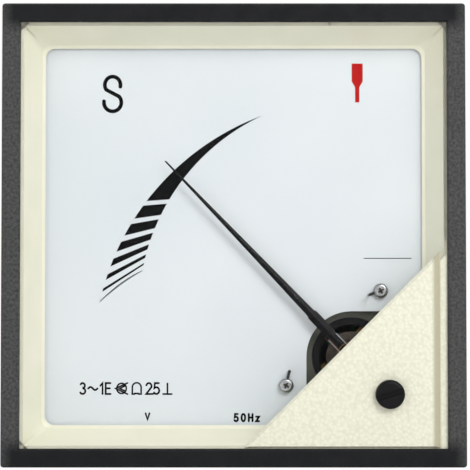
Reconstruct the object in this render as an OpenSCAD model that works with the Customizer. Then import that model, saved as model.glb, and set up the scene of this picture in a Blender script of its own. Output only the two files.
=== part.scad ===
// Square analog panel meter, 120 mm frame, moving-coil movement with its pivot in one corner.
// X points right, Z up and Y into the panel. The origin is the middle of the frame where it meets
// the panel, so what is in front of the panel has negative Y.

/* [Front frame] */
// Width and height of the frame
bezel_w = 120; // [117:0.5:126]
// Depth of the frame in front of the panel
bezel_depth = 18; // [17:0.5:22]
// Thickness of the frame's side walls
bezel_wall = 2.6; // [2:0.1:3]
// Width of the lip around the window
lip_w = 4.8; // [4.5:0.05:6]
// Thickness of the lip over the window
lip_t = 1.4; // [1.3:0.1:2.4]
// Bevel on the frame's front edges
edge_bevel = 0.5; // [0.2:0.1:0.8]
// Radius of the frame's four corners
corner_r = 0.9; // [0.4:0.1:1.8]
// How far the frame stands out past the housing that goes through the panel
bezel_overlap = 5; // [4:0.5:7]

/* [Window, mask and cover] */
// Thickness of the window pane
window_t = 1.5; // [1.2:0.1:3]
// Flat rim of the mask that shows inside the lip
mask_rim_w = 0.7; // [0.4:0.1:1.5]
// Width of the mask's slope seen from the front
mask_slope_w = 4.9; // [3.5:0.05:6]
// Wall thickness of the mask
mask_t = 1.2; // [0.8:0.1:1.6]
// Corner radius of the mask's inner opening
mask_inner_r = 2.6; // [1:0.1:4]
// Corner radius of the mask at its rim
mask_outer_r = 0.5; // [0.3:0.1:2]
// Width of the flatter lip along the mask's inner edge
mask_lip_w = 0.9; // [0.6:0.1:1.6]
// Length of the sides of the recess in each corner of the mask's rim
mask_corner_cut = 1.8; // [1:0.1:2.5]
// Depth of that recess
mask_corner_drop = 0.9; // [0.4:0.1:1]
// Width of the slit along each mitre of the mask where it starts
mask_slit_w = 0.7; // [0.4:0.05:1]
// How far the slits reach down the slope, seen from the front
mask_slit_len = 2.8; // [1.5:0.1:3.8]
// Gap between the mask's inner edge and the dial
mask_gap = 0.9; // [0.4:0.1:1.4]
// Distance from the pivot to the cover's slanting edge
cover_reach = 3.64; // [3.4:0.02:5]
// Height of the cover's raised pad over the window
cover_pad_t = 1; // [0.6:0.1:1.4]
// Width of the bevel along the pad's slanting edge
cover_bevel = 0.65; // [0.3:0.05:1]
// Width of the bevel along the pad's right side
cover_side_bevel = 1.7; // [1:0.05:2]
// Gap between the raised pad and the lip at its side
cover_gap = 1.8; // [1:0.05:2.4]
// Gap between the raised pad and the lip at its bottom
cover_low_gap = 0.25; // [0.1:0.05:0.6]
// How far the pad reaches over the window's cut corner
cover_overlap = 1.5; // [1.2:0.1:3]

/* [Dial] */
// Distance from the back of the window to the dial
dial_drop = 8.7; // [8:0.1:11]
// Thickness of the dial plate
dial_t = 0.8; // [0.5:0.1:1.2]
// How far the dial reaches under the mask
dial_under = 1.1; // [0.6:0.1:2]
// Radius of the dial's cut-out round the movement
dial_cut_r = 11.95; // [11.2:0.05:12.6]
// Distance from the pivot to each dial screw
dial_screw_r = 18.9; // [18.4:0.1:20]
// Angle between the dial's diagonal and each dial screw
dial_screw_angle = 68.7; // [66:0.1:72]
// Height of the posts behind the dial
dial_post_h = 3.3; // [2.6:0.1:5]

/* [Scale print] */
// Room between the top of the scale and the mask's opening
scale_margin = 13.4; // [12.6:0.1:18]
// How much smaller the arc that bounds the scale inside is
scale_taper = 11.4; // [10.9:0.1:12]
// How far above the pivot the inner arc's centre lies
scale_shift = 12.54; // [12.4:0.02:13]
// Angle above the left horizontal where the solid tail ends
scale_break = 37.2; // [34:0.1:40]
// Angular width of the first separate band
band_first = 3.5; // [3:0.05:3.6]
// How much narrower each next band is
band_step = 0.54; // [0.45:0.01:0.55]
// Angular width of the first gap between bands
gap_first = 1.3; // [1:0.05:1.5]
// How much wider each next gap is
gap_step = 0.13; // [0.05:0.01:0.18]
// Height of the red index mark
index_h = 10.3; // [6:0.1:12]
// Width of the red index mark
index_w = 2.9; // [2:0.1:4]

/* [Movement] */
// Distance from the pivot to the frame's right edge
pivot_from_side = 28.9; // [28:0.1:31]
// Distance from the pivot to the frame's bottom edge
pivot_from_bottom = 28.3; // [27.6:0.1:30]
// Radius of the core magnet
core_r = 6.6; // [6:0.1:6.8]
// Length of the core magnet
core_len = 9.4; // [7:0.1:11]
// Air gap on each side of the coil
air_gap = 0.43; // [0.38:0.01:0.5]
// Thickness of the coil former
former_t = 0.3; // [0.2:0.05:0.4]
// Thickness of the winding
winding_t = 0.74; // [0.5:0.02:0.8]
// Width of the coil former
former_w = 3; // [2.4:0.1:3.4]
// Wall thickness of the yoke ring
yoke_t = 1.9; // [1.5:0.1:2]
// Distance from the pivot to each bridge pillar
pillar_at = 12.6; // [12.5:0.1:13]
// Radius of the bridge pillars
pillar_r = 1.9; // [1.7:0.05:2]
// Width of the front and rear bridges
bridge_w = 6.4; // [6:0.1:6.8]
// Thickness of the bridges
bridge_t = 1.2; // [0.9:0.1:1.4]
// Radius of the pivot shafts
shaft_r = 0.6; // [0.5:0.05:0.7]
// Thickness of the movement base
base_t = 2; // [1.6:0.1:3]

/* [Pointer] */
// How far the pointer's tip reaches past the scale
pointer_over = 3.1; // [0.5:0.1:4]
// Direction of the pointer at rest, counted from the right
rest_dir = 133.7; // [130:0.1:140]
// Width of the pointer at its tip
tip_w = 0.4; // [0.3:0.05:0.8]
// Width of the pointer where it leaves its sleeve
blade_w = 2.3; // [1.6:0.1:2.5]
// Width of the sleeve
sleeve_w = 2.9; // [2.6:0.1:3.4]
// Distance from the pivot to the sleeve's outer end
sleeve_end = 15.5; // [12:0.1:16]
// Distance from the pivot to the stop wires
stop_r = 16.9; // [16.5:0.1:17.6]
// Angle from the rest direction to each stop wire
stop_angle = 59.35; // [57:0.05:61]
// Length of the balance arms
balance_len = 7.4; // [6.9:0.1:8]

/* [Zero adjuster] */
// Distance from the adjuster to the frame's right edge
knob_from_side = 19.8; // [19.4:0.1:20.4]
// Distance from the adjuster to the frame's bottom edge
knob_from_bottom = 18.8; // [18.5:0.1:19.4]
// Radius of the adjuster's head
knob_r = 3.75; // [3.3:0.05:4.4]
// Height of the adjuster's head
knob_h = 2.7; // [2:0.1:3.4]
// Width of the screwdriver slot
slot_w = 1.4; // [0.8:0.1:1.8]
// Tilt of the slot at rest
slot_tilt = 18; // [0:1:90]
// Radius of the adjuster's shaft
adjuster_r = 2; // [1.8:0.1:2.4]
// How far the pin is off the adjuster's axis
eccentric = 1.3; // [1:0.05:1.3]
// Radius of the eccentric pin
pin_r = 0.6; // [0.5:0.05:0.65]

/* [Housing] */
// Depth of the housing behind the panel
body_depth = 62; // [56:1:75]
// Wall thickness of the housing
wall = 2.5; // [2:0.1:2.8]
// Radius of the housing's corners
body_r = 1.5; // [0.5:0.1:2]
// Thickness of the housing's back
back_t = 3; // [2:0.1:4]
// Thickness of the housing's flange inside the frame
flange_t = 4; // [3.6:0.1:5]
// Distance from a mounting stud to the walls of its corner recess
stud_clear = 5.7; // [5.4:0.1:6.2]
// Distance between a mounting stud and the frame screw beyond it, along each side
stud_to_screw = 4.6; // [4.6:0.1:5]
// Thickness of the chassis plate
chassis_t = 2; // [1.5:0.1:3]
// Distance from the chassis bosses to the corner recesses
chassis_boss_inset = 15; // [14:0.5:22]

/* [Mounting hardware] */
// Radius of the mounting studs
stud_r = 2; // [1.5:0.1:2]
// End of the mounting studs behind the panel
stud_end = 22; // [18:0.5:30]
// Room for the panel between the frame and the clamps
panel_room = 5.2; // [4.8:0.1:8]
// Thickness of the clamps
clamp_t = 2; // [1.5:0.1:3]
// How far the foot of a clamp is set forward
clamp_foot = 1.5; // [1:0.1:2]
// How far the clamps reach past the housing's sides
clamp_reach = 3.2; // [2.4:0.1:4]

/* [Terminals] */
// Radius of the terminal studs
terminal_r = 2.5; // [2:0.1:2.5]
// How far the terminal studs stand out of the housing
terminal_out = 18; // [15:0.5:24]
// Height of the upper row of terminals
terminal_top_z = 22; // [20:0.5:26]
// Height of the lower row of terminals
terminal_low_z = -18; // [-22:0.5:-16]
// Distance from the upper terminals to the housing's sides
terminal_top_inset = 35; // [30:1:40]
// Distance from the outer terminals of the lower row to the housing's sides
terminal_low_inset = 23; // [22:1:28]
// Length of the solder tags
tag_len = 15; // [12:0.5:18]

/* [Circuit board] */
// Gap between the circuit board and the chassis bosses
board_side_gap = 5.9; // [4:0.1:7]
// Height of the circuit board
board_h = 62; // [60:1:64]
// Thickness of the circuit board
board_t = 1.6; // [1:0.1:2.4]
// Height of the spacers behind the board
spacer_h = 9.9; // [6:0.1:14]

/* [Hidden] */
$fn = 48;

// Clearances
assembly_gap = 0.3;   // parts that drop into one another
press_gap = 0.02;     // parts pressed or cemented together
running_gap = 0.05;   // shafts in their bores
screw_gap = 0.2;      // screws in clearance holes
thread_gap = 0.03;    // screws in their threads
axial_gap = 0.1;      // end play of what turns
overlap = 0.2;        // how far pieces of one solid sink into each other
cut = 1;              // how far a cutter reaches past what it cuts
film = 0.06;          // thickness of printed marks

// Planes across the depth, from the front
front_y = -bezel_depth;
window_y = front_y + lip_t;
cover_back_y = window_y + window_t;
dial_y = cover_back_y + dial_drop;
dial_back_y = dial_y + dial_t;
mask_end_y = dial_y - mask_gap;
chassis_y = dial_back_y + dial_post_h;
chassis_back_y = chassis_y + chassis_t;
base_y = chassis_y - base_t;
pad_y = window_y - cover_pad_t;
mask_rim_t = mask_t;
mask_lip_h = 0.4;
mask_slit_depth = 0.45;
mask_layer = 0.01;    // thickness of the outlines between which the mask is drawn
body_back_y = body_depth;
back_inner_y = body_back_y - back_t;

// Half sizes across the face
bezel_half = bezel_w / 2;
bezel_inner = bezel_half - bezel_wall;
insert_half = bezel_inner - assembly_gap;
lip_half = bezel_half - lip_w;
mask_top = lip_half - mask_rim_w;
mask_open = mask_top - mask_slope_w;
dial_half = mask_open + dial_under;
body_half = bezel_half - bezel_overlap;

// Mounting studs, frame screws and the corner recesses round them
frame_screw_inset = 3.6;
frame_screw_at = bezel_inner - frame_screw_inset;
stud_at = frame_screw_at - stud_to_screw;
notch_at = stud_at - stud_clear;
frame_screw_r = 1.2;
frame_head_r = 2.3;
frame_head_h = 1.5;
counterbore = frame_head_h + 0.3;
counterbore_r = frame_head_r + screw_gap;
frame_boss_r = 2.3;
frame_boss_h = 6;
frame_boss_y = -flange_t - frame_boss_h;
frame_screw_end = frame_boss_y + 1.5;
stud_hex_r = 4.04;
stud_head_h = 1.8;
root_nut_h = 2.2;
clamp_y = panel_room + clamp_foot;
clamp_back_y = clamp_y + clamp_t;
clamp_washer_t = 0.8;
clamp_washer_r = 4.5;
clamp_nut_h = 3.2;
clamp_nut_y = clamp_back_y + clamp_washer_t;
clamp_r = 5.3;
clamp_w = 2 * clamp_r - 1;

// Chassis, carried on bosses along the housing's side walls
cavity_half = body_half - wall;
cavity_notch = notch_at - wall;
chassis_half = cavity_half - 0.6;
chassis_notch = cavity_notch - 0.5;
chassis_boss_r = 3.4;
chassis_boss_gap = 0.8;
chassis_boss_x = cavity_half - chassis_boss_r - chassis_boss_gap;
chassis_boss_z = cavity_notch - chassis_boss_inset;
chassis_screw_r = 1.2;
chassis_head_r = 2.7;
chassis_head_h = 1.5;
chassis_screw_len = 8;

// Pivot, movement and its parts along the depth
pivot_x = bezel_half - pivot_from_side;
pivot_z = pivot_from_bottom - bezel_half;
former_in = core_r + air_gap;
former_out = former_in + former_t;
winding_out = former_out + winding_t;
winding_w = former_w - 0.6;
yoke_in = winding_out + air_gap;
yoke_r = yoke_in + yoke_t;
yoke_lead = 0.4;
yoke_y = base_y - yoke_lead;
core_y = yoke_y + 1.6;
core_back_y = core_y + core_len;
yoke_back_y = core_back_y + 1;
coil_y = core_y - air_gap - former_t - winding_t;
coil_back_y = core_back_y + air_gap + former_t + winding_t;
pivot_boss_r = 1.6;
pivot_boss_t = 0.6;
needle_gap = 0.15;
base_r = pillar_at + pillar_r + 0.7;
base_ear_r = 3.2;
base_screw_out = 4.9;
base_screw_at = pillar_at + base_screw_out;
base_screw_r = 1;
base_head_r = 1.9;
base_head_h = 1.2;
base_screw_end = chassis_back_y + 0.6;
support_angle = 14;
bridge_dir = 45;

// Front bridge, its jewel, the zero lever, the spring and the pointer's hub, from the front
jewel_gap = 0.5;
jewel_head_y = cover_back_y + jewel_gap;
jewel_head_t = 0.6;
jewel_head_r = 2.7;
jewel_neck_r = 2;
jewel_r = 1.7;
lever_t = 0.7;
lever_y = jewel_head_y + jewel_head_t + axial_gap;
lever_back_y = lever_y + lever_t;
bridge_y = lever_back_y + axial_gap;
bridge_back_y = bridge_y + bridge_t;
jewel_out = 0.4;
jewel_y = bridge_back_y + jewel_out;
cup_depth = 0.6;
cup_r = 0.55;
spring_y = jewel_y + 0.3;
spring_h = 0.5;
hub_y = spring_y + spring_h + 0.3;
hub_h = 1.2;
hub_r = 2.1;
arm_t = 0.5;
arm_w = 1;
arm_y = hub_y + 0.35;
weight_r = 0.8;
weight_len = 1.8;
weight_at = balance_len - 1.2;
blade_back_y = hub_y + 0.9;
blade_h = 0.7;
sleeve_start = 7.8;
bridge_end = 3.1;
bridge_head_r = 1.7;
bridge_head_h = 1.1;
bridge_screw_r = 0.9;
bridge_screw_in = 3.5;   // how far a bridge screw goes into its pillar
blind_gap = 0.5;         // how much deeper a blind hole is than its screw

// Rear bridge and what it carries
rear_boss_y = coil_back_y + pivot_boss_t;
rear_spring_y = rear_boss_y + 0.5;
rear_jewel_y = rear_spring_y + spring_h + 1.6;
rear_bridge_y = rear_jewel_y + jewel_out;
rear_bridge_back_y = rear_bridge_y + bridge_t;
rear_jewel_head_y = rear_bridge_back_y + 0.3;
tag_plate_t = 0.6;
tag_plate_len = 9;

// Hairsprings
spring_t = 0.12;
spring_in = 1.2;
spring_out = 4.5;
spring_turns = 3.5;
spring_steps = 24;
spring_tab_r = spring_out + 0.2;
spring_tab_t = 0.5;
spring_tab_w = 2.4;

// Zero adjuster
knob_x = bezel_half - knob_from_side;
knob_z = knob_from_bottom - bezel_half;
knob_dx = knob_x - pivot_x;
knob_dz = knob_z - pivot_z;
knob_dir = atan2(knob_dz, knob_dx);
knob_dist = norm([knob_dx, knob_dz]);
fork_pin_at = knob_dist - eccentric;
fork_gap = 0.2;
fork_wall = 1.1;
fork_w = 2 * (pin_r + fork_gap + fork_wall);
fork_len = fork_pin_at + 2;
knob_y = pad_y - running_gap;
clip_y = cover_back_y + running_gap;
clip_t = 0.5;
clip_r = adjuster_r + 1.2;
groove_r = adjuster_r - 0.35;
shaft_end_y = lever_y - 0.3;
pin_end_y = lever_back_y + 0.25;
slot_depth = 1.2;

// Where the printed marks lie, seen from the pivot, and the pointer's reach over them
scale_r = mask_open - pivot_z - scale_margin;
scale_inner_r = scale_r - scale_taper;
scale_inner_dx = 0.43;
scale_band_count = 7;
index_dx = 1.6;
index_foot = 0.7;
index_up = scale_r - index_foot + index_h;
pointer_len = scale_r + pointer_over;

// Dial screws and the stop wires under their heads
dial_axis = 135;
dial_post_r = 2.1;
dial_head_r = 1.95;
dial_head_h = 1.3;
dial_screw_shank = 0.8;
stop_ring_t = 0.4;
stop_wire_r = 0.35;
stop_ring_r = dial_head_r - 0.15;

// Terminals and the board that they carry
terminal_seat_r = 6.2;
terminal_seat_h = 0.8;
terminal_hex_r = 4.62;
terminal_head_h = 3.5;
board_w = 2 * (chassis_boss_x - chassis_boss_r - board_side_gap);
board_y = back_inner_y - spacer_h - board_t;
board_back_y = board_y + board_t;
board_z = (terminal_top_z + terminal_low_z) / 2;
spacer_wall = 1.5;
spacer_r = terminal_r + spacer_wall;
lock_nut_h = 3.5;
tag_t = 0.8;
washer_t = 1;
spring_washer_t = 1.2;
terminal_nut_h = 4;
washer_rim = 2.5;
washer_r = terminal_r + washer_rim;
seat_y = body_back_y + terminal_seat_h;
tag_y = seat_y + lock_nut_h;
washer_y = tag_y + tag_t;
spring_washer_y = washer_y + washer_t;
terminal_nut_y = spring_washer_y + spring_washer_t;
wire_hole_r = 1.3;
tag_end_r = 1.6 * wire_hole_r;
tag_hole_at = tag_len - tag_end_r;
spring_washer_slot = 0.8;

// What stands on the board, counted from the board's middle
transformer_x = -19;
transformer_up = 1;
core_stack = 8;
leg_w = 8;
coil_build = 4;
coil_gap = 0.2;
lead_r = 0.35;
resistor_x = 17;
resistor_pitch = 5;
resistor_r = 1.7;
resistor_len = 8.5;
resistor_span = 13;
capacitor_x = 3;
capacitor_up = [-2, 10];
capacitor_r = 4.8;
capacitor_h = 13;
capacitor_bead = 0.6;
diode_x = [10, 13];
diode_up = [-4, 7];
diode_r = 1.1;
diode_len = 4.5;
diode_span = 8;
trimmer_size = [10, 5, 8];
trimmer_inset = 7;
trimmer_screw_h = 1;
wire_r = 0.6;
tag_wire_at = 8;
tag_pad = [10, -12];
screw_pad = [5, -26];

// Colours
black_plastic = "#232527";
cream = "#e9e6d6";
brass = "#b8974a";
steel = "#b9bcbe";
copper = "#a4592c";
ink = "#17181a";

// ---------------------------------------------------------------- helpers

// A flat outline in X and Z, as thick as from y0 to y1
module slab(y0, y1)
    translate([0, y1, 0]) rotate([90, 0, 0]) linear_extrude(height = y1 - y0) children();

// A round rod along Y at [x, z]
module rod(r, y0, y1, x = 0, z = 0)
    translate([x, y1, z]) rotate([90, 0, 0]) cylinder(r = r, h = y1 - y0);

// A hexagonal rod along Y at [x, z]; r reaches its corners
module hex_rod(r, y0, y1, x = 0, z = 0)
    translate([x, y1, z]) rotate([90, 0, 0]) cylinder(r = r, h = y1 - y0, $fn = 6);

// A profile in radius and y, turned about the Y axis
module turned() rotate([-90, 0, 0]) rotate_extrude() children();

// A rectangle with round corners
module soft_square(w, h, r) {
    square([w - 2 * r, h], center = true);
    square([w, h - 2 * r], center = true);
    if (r > 0) for (x = [-1, 1], y = [-1, 1]) translate([x * (w / 2 - r), y * (h / 2 - r)]) circle(r);
}

// A square with its four corners cut back to the distance notch from the middle, and r on its corners
module notched_square(half, notch, r = 0) {
    soft_square(2 * half, 2 * notch, r);
    soft_square(2 * notch, 2 * half, r);
}

// A profile in distance and y, run round a square and mitred at its corners
module mitred_ring(reach)
    for (a = [0:90:270]) rotate([0, a, 0]) intersection() {
        translate([0, 0, -reach]) linear_extrude(height = 2 * reach) children();
        slab(-reach, reach) polygon([[0, 0], [reach, reach], [reach, -reach]]);
    }

// Copies in the four corners, at the distance d from both middle lines
module in_corners(d) for (x = [-d, d], z = [-d, d]) translate([x, 0, z]) children();

// Moves to the pivot and turns counter-clockwise as seen from the front
module at_pivot(a = 0) translate([pivot_x, 0, pivot_z]) rotate([0, -a, 0]) children();

// The same in a flat outline
module at_pivot_flat(a = 0) translate([pivot_x, pivot_z]) rotate(a) children();

// Both ends of the line through the pivot on which the bridges lie
module on_bridge_line(d) for (s = [-1, 1]) at_pivot(bridge_dir) translate([s * d, 0, 0]) children();

// Copies at the dial screws
module at_dial_screws()
    for (s = [-1, 1]) at_pivot(dial_axis + s * dial_screw_angle) translate([dial_screw_r, 0, 0])
        children();

// Copies at the terminals
module at_terminals() {
    for (s = [-1, 1]) translate([s * (body_half - terminal_top_inset), 0, terminal_top_z]) children();
    for (s = [-1, 0, 1]) translate([s * (body_half - terminal_low_inset), 0, terminal_low_z]) children();
}

// A pan head from y0 to y1 with its rim rounded towards y0
module pan_head(r, y0, y1, round = 0.6) {
    e = (y1 - y0) * round;
    turned() {
        polygon([[0, y0], [r - e, y0], [r - e, y1], [0, y1]]);
        polygon([[r - e, y0 + e], [r, y0 + e], [r, y1], [r - e, y1]]);
        intersection() {
            translate([r - e, y0 + e]) circle(e);
            translate([r - e, y0]) square([e, e]);
        }
    }
}

// The recess for a cross-head screwdriver, in a head of radius r from y0 to y1, open towards y0
module cross_recess(r, y0, y1) for (a = [0, 90]) rotate([0, a, 0])
    translate([-0.62 * r, y0 - cut, -0.12 * r]) cube([1.24 * r, cut + 0.55 * (y1 - y0), 0.24 * r]);

// A pan head with that recess
module cross_head(r, y0, y1) difference() {
    pan_head(r, y0, y1);
    cross_recess(r, y0, y1);
}

// A ring from y0 to y1
module ring(r_out, r_in, y0, y1) difference() {
    rod(r_out, y0, y1);
    rod(r_in, y0 - cut, y1 + cut);
}

// A hexagonal nut from y0 to y1, with its corners turned off at both faces
module nut(hex_r, r_in, y0, y1) {
    flat_r = 0.89 * hex_r;
    drop = 0.07 * hex_r;
    difference() {
        intersection() {
            hex_rod(hex_r, y0, y1);
            turned() polygon([[0, y0], [flat_r, y0], [hex_r + 0.1, y0 + drop], [hex_r + 0.1, y1 - drop],
                [flat_r, y1], [0, y1]]);
        }
        rod(r_in, y0 - cut, y1 + cut);
    }
}

// A point on the smooth curve that leaves a along Y and reaches b along Y
function wire_point(a, b, t) = let (reach = [0, (b[1] - a[1]) * 0.5, 0])
    pow(1 - t, 3) * a + 3 * pow(1 - t, 2) * t * (a + reach)
    + 3 * (1 - t) * pow(t, 2) * (b - reach) + pow(t, 3) * b;

// One corner of the eight-sided ring round the wire at t
function wire_corner(a, b, r, t, k) = let (
    v = wire_point(a, b, min(1, t + 0.01)) - wire_point(a, b, max(0, t - 0.01)),
    side = cross(v, [1, 0, 0]) / norm(cross(v, [1, 0, 0])),
    up = cross(side, v) / norm(v)
) wire_point(a, b, t) + r * (cos(45 * k) * side + sin(45 * k) * up);

// A round wire from a to b that starts and ends along Y
module wire(a, b, r, steps = 9) polyhedron(
    points = [for (i = [0:steps], k = [0:7]) wire_corner(a, b, r, i / steps, k)],
    faces = concat([[for (k = [7:-1:0]) k]], [[for (k = [0:7]) 8 * steps + k]],
        [for (i = [0:steps - 1], k = [0:7])
            [8 * i + k, 8 * i + (k + 1) % 8, 8 * i + 8 + (k + 1) % 8, 8 * i + 8 + k]]));

// ---------------------------------------------------------------- front

module front_frame() color(black_plastic) difference() {
    union() {
        difference() {
            slab(front_y, 0) soft_square(bezel_w, bezel_w, corner_r);
            slab(window_y, cut) square(2 * bezel_inner, center = true);
            slab(front_y - cut, 0) square(2 * lip_half, center = true);
        }
        in_corners(frame_screw_at) rod(frame_boss_r, frame_boss_y, -flange_t);
        for (a = [0:90:270]) rotate([0, a, 0])
            slab(frame_boss_y, -flange_t) translate([frame_screw_at, frame_screw_at])
                square(frame_screw_inset + bezel_wall / 2);
    }
    in_corners(frame_screw_at) rod(frame_screw_r + thread_gap, frame_boss_y + cut, cut);
    mitred_ring(bezel_w) polygon([[bezel_half - edge_bevel - cut, front_y - cut],
        [bezel_half + cut, front_y - cut], [bezel_half + cut, front_y + edge_bevel + cut]]);
    mitred_ring(bezel_w) polygon([[lip_half + edge_bevel + cut, front_y - cut],
        [lip_half - cut, front_y - cut], [lip_half - cut, front_y + edge_bevel + cut]]);
}

// The half plane on the movement's side of the cover's slanting edge, moved by shift
module corner_side(shift) at_pivot_flat(-45) translate([shift - cover_reach, -bezel_w])
    square([bezel_w, 2 * bezel_w]);

module window() color([0.85, 0.92, 0.95, 0.3]) slab(window_y, cover_back_y) difference() {
    square(2 * insert_half, center = true);
    corner_side(cover_overlap);
}

// One outline of the mask's hollow at y, wider than the opening by side
module mask_outline(y, side, r, grow) slab(y - mask_layer / 2, y + mask_layer / 2)
    soft_square(2 * (mask_open + side + grow), 2 * (mask_open + side + grow), r + grow);

// The mask's hollow, or with a wall thickness in grow, its outside
module mask_shape(grow, over = 0) {
    hull() {
        mask_outline(cover_back_y - over, mask_slope_w, mask_outer_r, grow);
        mask_outline(mask_end_y - mask_lip_h, mask_lip_w, mask_inner_r, grow);
    }
    hull() {
        mask_outline(mask_end_y - mask_lip_h, mask_lip_w, mask_inner_r, grow);
        mask_outline(mask_end_y + over, 0, mask_inner_r, grow);
    }
}

// A tapering slit down the mitre that points along +X, from the rim's corner
module mask_slit() {
    fillet = 1 - sqrt(0.5);
    top = [mask_top - mask_outer_r * fillet, cover_back_y];
    low = [mask_open + mask_lip_w - mask_inner_r * fillet, mask_end_y - mask_lip_h];
    intersection() {
        slab(cover_back_y - cut, mask_end_y) scale([sqrt(2), 1]) polygon([[mask_top - mask_slit_len, 0],
            [mask_top + cut, -mask_slit_w / 2], [mask_top + cut, mask_slit_w / 2]]);
        translate([0, 0, -mask_slit_w]) linear_extrude(height = 2 * mask_slit_w) scale([sqrt(2), 1])
            polygon([low - [cut, 0], low + [mask_slit_depth, 0], top + [mask_slit_depth, 0],
                top + [mask_slit_depth, -cut], top - [cut, cut]]);
    }
}

module inner_mask() color(cream) {
    skirt = 2 * (notch_at + 2);
    difference() {
        union() {
            mask_shape(mask_t);
            slab(cover_back_y, cover_back_y + mask_rim_t) square(2 * insert_half, center = true);
        }
        mask_shape(0, 2 * mask_layer);
        slab(cover_back_y - cut, cover_back_y) square(2 * insert_half, center = true);
        slab(cover_back_y - cut, cover_back_y + mask_corner_drop) difference() {
            square(2 * bezel_half, center = true);
            rotate(45) square(sqrt(2) * (2 * lip_half - mask_corner_cut), center = true);
        }
        for (a = [45:90:315]) rotate([0, a, 0]) mask_slit();
    }
    for (a = [0:90:270]) rotate([0, a, 0])
        translate([insert_half - mask_t, cover_back_y + mask_rim_t, -skirt / 2])
            cube([mask_t, -flange_t - cover_back_y - mask_rim_t, skirt]);
}

// The cover's outline, with its right edge at side and its bottom edge at -low
module cover_outline(side, low, shift) intersection() {
    translate([-bezel_w, -low]) square([bezel_w + side, 2 * bezel_w]);
    corner_side(shift);
}

module corner_cover() color(cream) {
    side = lip_half - cover_gap;
    low = lip_half - cover_low_gap;
    difference() {
        union() {
            slab(window_y, cover_back_y)
                cover_outline(insert_half, insert_half, cover_overlap + assembly_gap);
            hull() {
                slab(pad_y, pad_y + 0.1) cover_outline(side - cover_side_bevel,
                    low - 0.6 * cover_bevel, cover_bevel);
                slab(window_y - 0.1, window_y) cover_outline(side, low, 0);
            }
        }
        rod(adjuster_r + running_gap, pad_y - cut, cover_back_y + cut, knob_x, knob_z);
    }
}

// ---------------------------------------------------------------- housing and fasteners

module rear_housing() color(black_plastic) difference() {
    union() {
        difference() {
            union() {
                slab(-flange_t, 0) soft_square(2 * insert_half, 2 * insert_half, corner_r);
                slab(0, body_back_y) notched_square(body_half, notch_at, body_r);
                at_terminals() rod(terminal_seat_r, body_back_y - overlap, seat_y);
            }
            slab(-flange_t - cut, back_inner_y) notched_square(cavity_half, cavity_notch);
        }
        for (x = [-1, 1], z = [-1, 1]) {
            rod(chassis_boss_r, chassis_back_y, back_inner_y, x * chassis_boss_x, z * chassis_boss_z);
            slab(chassis_back_y, back_inner_y)
                translate([x * (chassis_boss_x + cavity_half + wall / 2) / 2, z * chassis_boss_z])
                square([cavity_half + wall / 2 - chassis_boss_x, chassis_boss_r], center = true);
        }
    }
    in_corners(stud_at) {
        rod(stud_r + screw_gap, -flange_t - cut, cut);
        hex_rod(stud_hex_r + 0.1, -flange_t - cut, -flange_t + stud_head_h);
    }
    in_corners(frame_screw_at) {
        rod(frame_screw_r + screw_gap, -flange_t - cut, cut);
        rod(counterbore_r, -counterbore, cut);
    }
    for (x = [-1, 1], z = [-1, 1])
        rod(chassis_screw_r + thread_gap, chassis_back_y - cut, chassis_back_y + chassis_screw_len,
            x * chassis_boss_x, z * chassis_boss_z);
    at_terminals() rod(terminal_r + screw_gap, back_inner_y - cut, seat_y + cut);
}

module frame_screws() color(steel) in_corners(frame_screw_at) {
    mirror([0, 1, 0]) cross_head(frame_head_r, counterbore - frame_head_h, counterbore);
    rod(frame_screw_r, frame_screw_end, -counterbore);
}

module mounting_studs() color(steel) in_corners(stud_at) {
    hex_rod(stud_hex_r, -flange_t, -flange_t + stud_head_h);
    rod(stud_r, -flange_t + stud_head_h, stud_end);
}

module stud_root_nuts() color(steel) in_corners(stud_at)
    nut(stud_hex_r, stud_r + thread_gap, 0, root_nut_h);

// Outline of a clamp in the corner on the side of +X and +Z
module clamp_outline() {
    reach = body_half + clamp_reach;
    difference() {
        intersection() {
            union() {
                translate([stud_at, stud_at]) circle(clamp_r);
                translate([stud_at, stud_at]) rotate(45) translate([0, -clamp_w / 2])
                    square([3 * clamp_r, clamp_w]);
            }
            square(reach);
        }
        translate([stud_at, stud_at]) circle(stud_r + screw_gap);
    }
}

module panel_clamps() color(steel) for (a = [0:90:270]) rotate([0, a, 0]) difference() {
    slab(panel_room, clamp_back_y) clamp_outline();
    slab(panel_room - cut, clamp_y) square(body_half + 1);
}

module clamp_washers() color(steel) in_corners(stud_at)
    ring(clamp_washer_r, stud_r + screw_gap, clamp_back_y, clamp_nut_y);

module clamp_nuts() color(steel) in_corners(stud_at)
    nut(stud_hex_r, stud_r + thread_gap, clamp_nut_y, clamp_nut_y + clamp_nut_h);

// ---------------------------------------------------------------- terminals

module terminal_studs() color(brass) at_terminals() {
    hex_rod(terminal_hex_r, board_y - terminal_head_h, board_y);
    rod(terminal_r, board_y, body_back_y + terminal_out);
}

module terminal_spacers() color(brass) at_terminals()
    ring(spacer_r, terminal_r + screw_gap, board_back_y, back_inner_y);

module terminal_lock_nuts() color(brass) at_terminals()
    nut(terminal_hex_r, terminal_r + thread_gap, seat_y, tag_y);

module terminal_tags() color(steel) at_terminals() slab(tag_y, washer_y) difference() {
    union() {
        circle(washer_r);
        translate([-tag_end_r, -tag_hole_at]) square([2 * tag_end_r, tag_hole_at]);
        translate([0, -tag_hole_at]) circle(tag_end_r);
    }
    circle(terminal_r + screw_gap);
    translate([0, -tag_hole_at]) circle(wire_hole_r);
}

module terminal_washers() color(brass) at_terminals()
    ring(washer_r, terminal_r + screw_gap, washer_y, spring_washer_y);

module spring_washers() color(steel) at_terminals() difference() {
    ring(washer_r - 0.6, terminal_r + screw_gap, spring_washer_y, terminal_nut_y);
    translate([0, spring_washer_y - cut, 0]) rotate([0, 20, 0])
        cube([washer_r, spring_washer_t + 2 * cut, spring_washer_slot]);
}

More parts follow.
